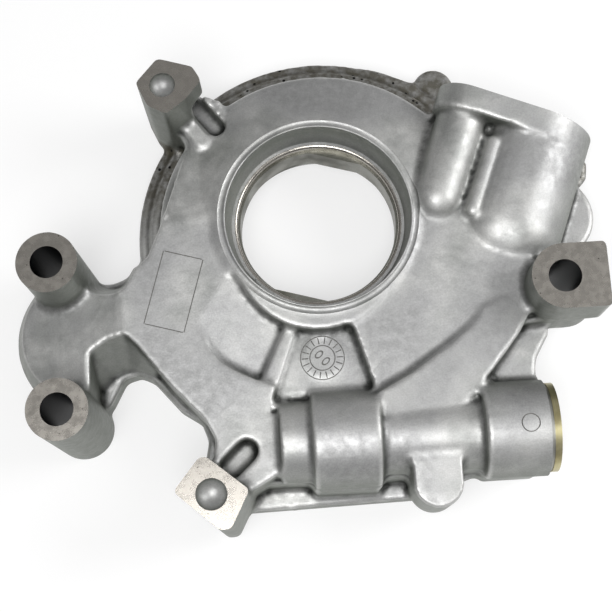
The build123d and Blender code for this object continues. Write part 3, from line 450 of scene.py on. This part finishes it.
# Turned bores as (radius, distance): the inlet bore narrows behind the pick-up tube's seat, and the
# relief bore widens from its blind end to the piston's bore and to the plug's thread.
port = ((0, 0), (11e-3, 0), (11e-3, 23.6e-3), (PORT_R, 23.6e-3), (PORT_R, 35e-3), (0, 35e-3))
relief = ((0, 0), (5.6e-3, 0), (5.6e-3, 5e-3), (7.5e-3, 5e-3), (7.5e-3, 54.7e-3), (10.02e-3, 54.7e-3),
          (10.02e-3, 70e-3), (0, 70e-3))
cut(casting, [drilled(COVER_SEAT_R, rear_seat - Z * OVER, rear_seat + Z * COVER_T, steps=192),
              turned(port, on_inlet(PORT_START, PORT_T, PORT_Z), inlet_dir),
              drilled(STUD_R, on_inlet(STUD_START, STUD_T, STUD_Z), on_inlet(past_flange, STUD_T, STUD_Z)),
              turned(relief, (RELIEF_START, *RELIEF_AXIS), X),
              drilled(OUTLET_R, (*OUTLET, -OVER), (*OUTLET, OUTLET_TOP))], milled)
arc = [pi / 2 * k / DIMPLE_STEPS for k in range(DIMPLE_STEPS + 1)]
cut(casting, [turned([(r * sin(a), -r * cos(a)) for a in arc] + [(r, r), (0, r)], (x, y, FACE_TOP), Z,
                     steps=64) for x, y, r in DIMPLES], die_cast)
cut(casting, [drilled(BOLT_R, (x, y, -OVER), (x, y, FACE_TOP + OVER), steps=64) for x, y in BOLT_HOLES],
    drilled_painted_shade)
pocket_axis = Vector(ROTOR_AXIS)
cut(casting, [drilled(POCKET_R, pocket_axis - Z * OVER, pocket_axis + Z * POCKET_FLOOR, steps=192)]
    + [drilled(SCREW_R, on_screw_circle(turn, -OVER), on_screw_circle(turn, SCREW_DEPTH), steps=24)
       for turn in SCREW_TURNS]
    + [drilled(DOWEL_R, on_screw_circle(turn, -OVER), on_screw_circle(turn, DOWEL_DEPTH), steps=24)
       for turn in DOWEL_TURNS], milled)

# Pump housing, the mouth round the crank. One form tool turns the ring, the groove round it and the
# hollow slope inside it, and a second pass rounds the lip that the crank's nose goes through.
LIP_R, LIP_TOP, LIP_OUTER_R, LIP_ROUND = 23.2e-3, 21.0e-3, 24.9e-3, 0.9e-3
RING_MOUTH_R, MOUTH_SAG, CREST_ROUND = 26.3e-3, 0.8e-3, 0.32e-3
GROOVE_R, GROOVE_ROUND, GROOVE_DEPTH = 27.8e-3, 1.3e-3, 0.6e-3
MOUTH_START_R = LIP_OUTER_R - 0.5e-3  # the form tool enters over the lip
GROOVE_MIDDLE = cone_height(GROOVE_R) - GROOVE_DEPTH + GROOVE_ROUND
CURVE_STEPS = 10


def curve(middle, radius, start, end):
    """Points of an arc about (radius, height), from one angle to another in degrees."""
    turns = [radians(start + (end - start) * k / CURVE_STEPS) for k in range(CURVE_STEPS + 1)]
    return [(middle[0] + radius * cos(a), middle[1] + radius * sin(a)) for a in turns]


hollow = []
for k in range(CURVE_STEPS + 1):
    share = k / CURVE_STEPS
    hollow.append((LIP_OUTER_R + (RING_MOUTH_R - LIP_OUTER_R) * share + 4 * MOUTH_SAG * share * (1 - share),
                   LIP_TOP + (RING_TOP - CREST_ROUND - LIP_TOP) * share))
crest = curve((RING_MOUTH_R + CREST_ROUND, RING_TOP - CREST_ROUND), CREST_ROUND, 165, 40)
groove = curve((GROOVE_R, GROOVE_MIDDLE), GROOVE_ROUND, 225, 322)
mouth = ([(0, LIP_TOP), (MOUTH_START_R, LIP_TOP)] + hollow[:-1] + crest + groove
         + [(RING_SHELF_R, RING_TOP + OVER), (RING_SHELF_R, RING_TOP + STOCK), (0, RING_TOP + STOCK)])
cut(casting, [turned(mouth, (0, 0, 0), Z, steps=256)], die_cast)
lip = ([(0, POCKET_FLOOR - STOCK / 2), (LIP_R, POCKET_FLOOR - STOCK / 2)]
       + curve((LIP_R + LIP_ROUND, LIP_TOP - LIP_ROUND), LIP_ROUND, 180, 90)
       + [(LIP_R + LIP_ROUND, LIP_TOP + OVER), (0, LIP_TOP + OVER)])
cut(casting, [turned(lip, (0, 0, 0), Z, steps=256)], milled)

# Pump housing, its marks. The die leaves a date dial with plain ticks, the outline of a blank insert
# on the left face and the ring of an ejector pin on the plug's collar. The lines are drawn darker than the
# skin.
DIAL, DIAL_FACE, DIAL_R, DIAL_HUB_R = (-1.2e-3, -40.4e-3), 25.45e-3, 6.1e-3, 3.5e-3
DIAL_TICKS = 18
NOUGHT_R, NOUGHT_LONG, NOUGHT_TURN = 0.7e-3, 1.7, radians(40)
NOUGHT_SHIFT = (0.9e-3, -1.0e-3)      # from the dial's middle to one nought, and the other way to its twin
LINE = 0.15e-3            # half the width of a line, wider than the real one so that it shows
CUT_TOP = 2e-3            # cutters for the lines reach this far above the metal
INSERT_CORNER, INSERT_TURN, INSERT_SIZE = (-44.1e-3, -7.5e-3), radians(-16.5), (11.5e-3, 21.6e-3)
INSERT_FACE = 28.08e-3
PIN_X, PIN_TURN = 53.2e-3, radians(90)    # along the collar, and round it from -Y
PIN_R, PIN_DEPTH = 2.4e-3, 0.36e-3
# Die-cast aluminium drawn darker than the skin in a fine line.
lined, tree, sockets, place = finish_named("dark cast line", 0.8, 0.6)
line_mottle = add(tree, "TexNoise", {"Vector": place, "Scale": 1 / GRAIN, "Detail": 3}, "Fac")
tone = add(tree, "Mix", {"Factor": line_mottle, "A": srgb(0x5c5b57), "B": srgb(0x868684)}, "Result",
           data_type="RGBA")
tree.links.new(tone, sockets["Base Color"])
bump = add(tree, "Bump", {"Height": line_mottle, "Distance": 0.03e-3, "Strength": 0.3}, "Normal")
tree.links.new(bump, sockets["Normal"])
casting.data.materials.append(lined)


def ring_line(radius, at, along, depth, steps=48):
    """The cutter for a round line, which goes down to a depth below its middle point."""
    top = 1.5 * CUT_TOP
    profile = ((radius - LINE, -depth), (radius + LINE, -depth), (radius + LINE, top), (radius - LINE, top))
    return turned(profile, at, along, steps)


dial_at = Vector((*DIAL, DIAL_FACE))
marks = [ring_line(DIAL_R, dial_at, Z, 0), ring_line(DIAL_HUB_R, dial_at, Z, 0)]
for k in range(DIAL_TICKS):
    turn = Matrix.Translation(dial_at) @ Matrix.Rotation(2 * pi * k / DIAL_TICKS, 4, "Z")
    marks.append(block((DIAL_HUB_R + 3 * LINE, -LINE, 0), (DIAL_R - 2 * LINE, LINE, CUT_TOP), turn))
for side in (-1, 1):
    middle = dial_at + side * Vector((*NOUGHT_SHIFT, 0))
    longer = Matrix.Rotation(NOUGHT_TURN, 4, "Z") @ Matrix.Diagonal((NOUGHT_LONG, 1, 1, 1))
    nought_points, nought_faces = ring_line(NOUGHT_R, (0, 0, 0), Z, 0, steps=24)
    marks.append(([tuple(middle + longer @ Vector(p)) for p in nought_points], nought_faces))
cut(casting, marks, lined)

insert_place = Matrix.Translation((*INSERT_CORNER, INSERT_FACE)) @ Matrix.Rotation(INSERT_TURN, 4, "Z")
wide, tall = INSERT_SIZE
marks = [block((-LINE, -tall, 0), (LINE, 0, CUT_TOP), insert_place),
         block((wide - LINE, -tall, 0), (wide + LINE, 0, CUT_TOP), insert_place),
         block((2 * LINE, -LINE, 0), (wide - 2 * LINE, LINE, CUT_TOP), insert_place),
         block((2 * LINE, -tall - LINE, 0), (wide - 2 * LINE, -tall + LINE, CUT_TOP), insert_place)]
outwards = Vector((0, -cos(PIN_TURN), sin(PIN_TURN)))
pin_at = Vector((PIN_X, *RELIEF_AXIS)) + outwards * COLLAR_R
marks.append(ring_line(PIN_R, pin_at, outwards, PIN_DEPTH))
cut(casting, marks, lined)

# The mesh that the finishes ride on: each point takes the hollow value of the nearest cast point, and
# an edge sharper than SHARP stays crisp.
SHARP = radians(38)
held = casting.data.attributes.new("hollow", "FLOAT", "POINT")
held.data.foreach_set("value", [hollow_by[cast_points.find(spot.co)[1]] for spot in casting.data.vertices])
casting.data.set_sharp_from_angle(angle=SHARP)
casting.data.shade_smooth()
casting.name = "cast_housing"
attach(casting, "body")
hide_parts("pump_housing")


# Rear cover. An aluminium plate that closes the rotor pocket, held by ten screws and two dowels.
# It is face-milled on both sides, so the cutter's wide arcs show in it.
def finished(names, material):
    """Gives CAD nodes, whose shapes are right as they are, their finish."""
    for name in names:
        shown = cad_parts[name].data.materials
        shown.clear()
        shown.append(material)


ARC_SPACING = 0.9e-3
WAVE = 0.314              # the wave pattern's scale at which one arc is a metre wide
CUTTER_MIDDLE = (0.09, 0.02, 0.0)
faced, tree, sockets, place = finish_named("face-milled aluminium plate", 1.0, 0.3)
moved = add(tree, "Mapping", {"Vector": place, "Location": CUTTER_MIDDLE}, "Vector")
arcs = add(tree, "TexWave", {"Vector": moved, "Scale": WAVE / ARC_SPACING, "Distortion": 0.4, "Detail": 1},
           "Fac", wave_type="RINGS", rings_direction="Z")
scuff = add(tree, "TexNoise", {"Vector": place, "Scale": 1 / CLOUD, "Detail": 4}, "Fac")
tone = add(tree, "Mix", {"Factor": arcs, "A": srgb(0x9b9c9b), "B": srgb(0xb4b5b4)}, "Result",
           data_type="RGBA")
scuffed = add(tree, "MapRange", {"Value": scuff, "From Min": 0.45, "From Max": 0.7, "To Max": 0.5}, "Result")
tone = add(tree, "Mix", {"Factor": scuffed, "A": tone, "B": srgb(0x83837f)}, "Result", data_type="RGBA")
tree.links.new(tone, sockets["Base Color"])
dulled = add(tree, "MapRange", {"Value": scuff, "From Min": 0.3, "From Max": 0.7, "To Min": 0.26,
                                "To Max": 0.42}, "Result")
tree.links.new(dulled, sockets["Roughness"])
bump = add(tree, "Bump", {"Height": arcs, "Distance": 0.02e-3, "Strength": 0.5}, "Normal")
bump = add(tree, "Bump", {"Height": scuff, "Distance": 0.1e-3, "Strength": 0.1, "Normal": bump}, "Normal")
tree.links.new(bump, sockets["Normal"])
finished(["rear_cover"], faced)

# Rotors, inner and outer. Pressed from steel powder and sintered, then ground on their ends, so they
# are olive-grey, faintly porous and wet with oil. They sit loose in the pocket.
PORE = 0.5e-3
sintered, tree, sockets, place = finish_named("oiled sintered steel", 1.0, 0.4)
pores = add(tree, "TexNoise", {"Vector": place, "Scale": 1 / PORE, "Detail": 4}, "Fac")
smear = add(tree, "TexNoise", {"Vector": place, "Scale": 1 / CLOUD, "Detail": 3}, "Fac")
tone = add(tree, "Mix", {"Factor": pores, "A": srgb(0x66665f), "B": srgb(0x94948d)}, "Result",
           data_type="RGBA")
smeared = add(tree, "MapRange", {"Value": smear, "From Min": 0.4, "From Max": 0.65, "To Max": 0.7}, "Result")
tone = add(tree, "Mix", {"Factor": smeared, "A": tone, "B": srgb(0x45453b)}, "Result", data_type="RGBA")
tree.links.new(tone, sockets["Base Color"])
dulled = add(tree, "MapRange", {"Value": smear, "From Min": 0.35, "From Max": 0.65, "To Min": 0.34,
                                "To Max": 0.5}, "Result")
tree.links.new(dulled, sockets["Roughness"])
bump = add(tree, "Bump", {"Height": pores, "Distance": 0.03e-3, "Strength": 0.4}, "Normal")
tree.links.new(bump, sockets["Normal"])
finished(["inner_rotor", "outer_rotor"], sintered)

# Relief piston and dowels. Hardened steel, ground to size, so it is bright with a faint uneven sheen.
# The piston slides in its bore, and the dowels are pressed into the casting to place the cover.
SCRATCH = 0.25e-3
ground, tree, sockets, place = finish_named("hardened ground steel", 1.0, 0.22)
scratches = add(tree, "TexNoise", {"Vector": place, "Scale": 1 / SCRATCH, "Detail": 1}, "Fac")
tone = add(tree, "Mix", {"Factor": scratches, "A": srgb(0x8f8f8c), "B": srgb(0xaaaaa8)}, "Result",
           data_type="RGBA")
tree.links.new(tone, sockets["Base Color"])
sheen = add(tree, "TexNoise", {"Vector": place, "Scale": 1 / SPECK, "Detail": 3}, "Fac")
dulled = add(tree, "MapRange", {"Value": sheen, "From Min": 0.3, "From Max": 0.7, "To Min": 0.18,
                                "To Max": 0.28}, "Result")
tree.links.new(dulled, sockets["Roughness"])
bump = add(tree, "Bump", {"Height": scratches, "Distance": 0.01e-3, "Strength": 0.3}, "Normal")
tree.links.new(bump, sockets["Normal"])
finished(["relief_piston", "dowel_pin_1", "dowel_pin_2"], ground)

# Cover screws. Ten countersunk steel screws with hexagon sockets, flush with the cover. Their steel
# has a dark grey phosphate skin, matt and finely crystalline.
CRYSTAL = 0.3e-3
phosphated, tree, sockets, place = finish_named("phosphated steel", 0.9, 0.5)
crystals = add(tree, "TexNoise", {"Vector": place, "Scale": 1 / CRYSTAL, "Detail": 3}, "Fac")
tone = add(tree, "Mix", {"Factor": crystals, "A": srgb(0x34353a), "B": srgb(0x5a5b5e)}, "Result",
           data_type="RGBA")
tree.links.new(tone, sockets["Base Color"])
dulled = add(tree, "MapRange", {"Value": crystals, "From Min": 0.3, "From Max": 0.7, "To Min": 0.42,
                                "To Max": 0.6}, "Result")
tree.links.new(dulled, sockets["Roughness"])
bump = add(tree, "Bump", {"Height": crystals, "Distance": 0.02e-3, "Strength": 0.4}, "Normal")
tree.links.new(bump, sockets["Normal"])
finished([f"cover_screw_{k}" for k in range(1, 11)], phosphated)

# Relief spring. Round steel wire wound cold and phosphated like the screws, with the last turn at
# each end closed and ground flat. It stands between the piston's crown and the plug.
WIRE_R, END_TURNS, OPEN_TURNS, RELIEF_TRAVEL = 0.7e-3, 1, 7, 9e-3
TURN_STEPS, WIRE_SIDES = 40, 12
CLOSED_PITCH = 2.05 * WIRE_R
GROUND_OFF = 0.6 * WIRE_R             # depth ground off each end
OPENING = 0.5                         # turns over which the closed end opens out
spring_low, spring_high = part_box("relief_spring")
spring_length = (spring_high - spring_low).x
coil_r = (spring_high - spring_low).y / 2 - WIRE_R
angles = np.arange((2 * END_TURNS + OPEN_TURNS) * TURN_STEPS + 1) * 2 * pi / TURN_STEPS
from_end = np.minimum(angles, angles[-1] - angles) / (2 * pi)
open_share = np.clip((from_end - END_TURNS + OPENING / 2) / OPENING, 0, 1)
wire_rise = spring_length - 2 * (WIRE_R - GROUND_OFF)
open_pitch = (wire_rise * TURN_STEPS - CLOSED_PITCH * (1 - open_share[1:]).sum()) / open_share[1:].sum()
rises = (CLOSED_PITCH * (1 - open_share) + open_pitch * open_share) / TURN_STEPS
heights = spring_low.x + WIRE_R - GROUND_OFF + np.append(0, np.cumsum(rises[1:]))
wire_points = []
for angle, height, rise in zip(angles, heights, rises):
    outward = Vector((0, cos(angle), sin(angle)))
    run = Vector((rise * TURN_STEPS / (2 * pi), -coil_r * sin(angle), coil_r * cos(angle))).normalized()
    middle = Vector((height, *RELIEF_AXIS)) + coil_r * outward
    for side in range(WIRE_SIDES):
        way = 2 * pi * side / WIRE_SIDES
        spot = middle + WIRE_R * (cos(way) * outward + sin(way) * run.cross(outward))
        wire_points.append((min(max(spot.x, spring_low.x), spring_high.x), spot.y, spot.z))
wire_faces = [(k * WIRE_SIDES + i, k * WIRE_SIDES + (i + 1) % WIRE_SIDES,
               (k + 1) * WIRE_SIDES + (i + 1) % WIRE_SIDES, (k + 1) * WIRE_SIDES + i)
              for k in range(len(angles) - 1) for i in range(WIRE_SIDES)]
last_ring = (len(angles) - 1) * WIRE_SIDES
wire_faces += [tuple(range(WIRE_SIDES))[::-1], tuple(last_ring + i for i in range(WIRE_SIDES))]
spring = mesh_piece("valve_spring", wire_points, wire_faces)
spring.data.materials.append(phosphated)
spring.data.set_sharp_from_angle(angle=SHARP)
spring.data.shade_smooth()
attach(spring, "body")
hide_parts("relief_spring")
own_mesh(spring)

# Relief plug. A brass screw plug with a hexagon socket, screwed into the collar to hold the spring.
# It is turned, so fine rings from the tool show, and its brass has gone pale and dull.
TURNED_RING, TARNISH = 0.25e-3, 5e-3
RING_STRETCH = (1.0, 0.04, 0.04)      # draws the noise out round the plug's axis
brass, tree, sockets, place = finish_named("dull turned brass", 1.0, 0.34)
along_axis = add(tree, "Mapping", {"Vector": place, "Scale": RING_STRETCH}, "Vector")
lathe = add(tree, "TexNoise", {"Vector": along_axis, "Scale": 1 / TURNED_RING, "Detail": 2}, "Fac")
tarnish = add(tree, "TexNoise", {"Vector": place, "Scale": 1 / TARNISH, "Detail": 4}, "Fac")
tone = add(tree, "Mix", {"Factor": lathe, "A": srgb(0xa9a07a), "B": srgb(0xc9c29c)}, "Result",
           data_type="RGBA")
tarnished = add(tree, "MapRange", {"Value": tarnish, "From Min": 0.45, "From Max": 0.65, "To Max": 0.6},
                "Result")
tone = add(tree, "Mix", {"Factor": tarnished, "A": tone, "B": srgb(0x8e8460)}, "Result", data_type="RGBA")
tree.links.new(tone, sockets["Base Color"])
bump = add(tree, "Bump", {"Height": lathe, "Distance": 0.02e-3, "Strength": 0.4}, "Normal")
tree.links.new(bump, sockets["Normal"])
finished(["relief_plug"], brass)

# Washer under the plug. A flat ring of soft aluminium, dull, which was pressed flatter when the plug
# was tightened and so seals the bore.
soft, tree, sockets, place = finish_named("soft aluminium washer", 1.0, 0.4)
dull = add(tree, "TexNoise", {"Vector": place, "Scale": 1 / SPECK, "Detail": 3}, "Fac")
tone = add(tree, "Mix", {"Factor": dull, "A": srgb(0x8f8f8a), "B": srgb(0xa9a9a4)}, "Result",
           data_type="RGBA")
tree.links.new(tone, sockets["Base Color"])
bump = add(tree, "Bump", {"Height": dull, "Distance": 0.03e-3, "Strength": 0.3}, "Normal")
tree.links.new(bump, sockets["Normal"])
finished(["plug_seal"], soft)

# Floor, lights and camera. A pale matt table under one wide soft lamp and a weaker one at the right,
# in a pale room that is a little brighter on that side. The camera sees the table as almost white.
FLOOR_HALF = 3            # metres
floor = mesh_piece("floor", [(-FLOOR_HALF, -FLOOR_HALF, 0), (FLOOR_HALF, -FLOOR_HALF, 0),
                             (FLOOR_HALF, FLOOR_HALF, 0), (-FLOOR_HALF, FLOOR_HALF, 0)], [(0, 1, 2, 3)])
pale, tree, sockets, place = finish_named("pale table", 0.0, 0.9)
sockets["Base Color"].default_value = srgb(0xf4f4f4)
ray = add(tree, "LightPath")
seen = add(tree, "Math", {0: ray.outputs["Is Camera Ray"], 1: ray.outputs["Is Glossy Ray"]}, "Value",
           operation="MAXIMUM")
seen = add(tree, "Math", {0: seen, 1: ray.outputs["Is Transmission Ray"]}, "Value", operation="MAXIMUM")
share = add(tree, "Math", {0: seen, 1: 0.6}, "Value", operation="MULTIPLY")
white = add(tree, "Emission", {"Color": srgb(0xffffff), "Strength": 1.0}, "Emission")
matt = tree.nodes["Principled BSDF"].outputs["BSDF"]
shown = add(tree, "MixShader", {"Fac": share, 1: matt, 2: white}, "Shader")
tree.links.new(shown, tree.nodes["Material Output"].inputs["Surface"])
floor.data.materials.append(pale)

world = bpy.data.worlds.new("studio")
world.use_nodes = True
tree = world.node_tree
room = tree.nodes["Background"].inputs
around = add(tree, "SeparateXYZ", {"Vector": add(tree, "TexCoord", out="Generated")}, "X")
brighter = add(tree, "MapRange", {"Value": around, "From Min": -1, "From Max": 1, "To Min": 0.20,
                                  "To Max": 0.54}, "Result")
tree.links.new(brighter, room["Strength"])
room["Color"].default_value = srgb(0xffffff)
bpy.context.scene.world = world

LAMPS = (("softbox", 0.32, 2.5, (-0.07, -0.22, 0.58), (0, -0.01, 0.02)),
         ("side_light", 0.35, 2.2, (0.50, 0.05, 0.42), (0, 0, 0.02)))     # width, watts, place and aim
for name, width, watts, at, aim in LAMPS:
    light = bpy.data.lights.new(name, "AREA")
    light.shape = "DISK"
    light.size = width
    light.energy = watts
    lamp = bpy.data.objects.new(name, light)
    lamp.location = at
    lamp.rotation_euler = (Vector(at) - Vector(aim)).to_track_quat("Z", "Y").to_euler()
    bpy.context.scene.collection.objects.link(lamp)

CAMERA = (-0.00585, -0.10584, 0.37034)
RIGHT, UP, BACK = (0.99825, -0.05808, -0.01082), (0.05902, 0.97205, 0.22722), (-0.00268, -0.22746, 0.97378)
lens = bpy.data.cameras.new("camera")
lens.sensor_width = 36
lens.lens = 74.118
lens.clip_start = 0.01
camera = bpy.data.objects.new("camera", lens)
turn = Matrix((RIGHT, UP, BACK)).transposed()
camera.matrix_world = Matrix.Translation(CAMERA) @ turn.to_4x4()
bpy.context.scene.collection.objects.link(camera)
bpy.context.scene.camera = camera
bpy.context.scene.view_settings.view_transform = "Standard"
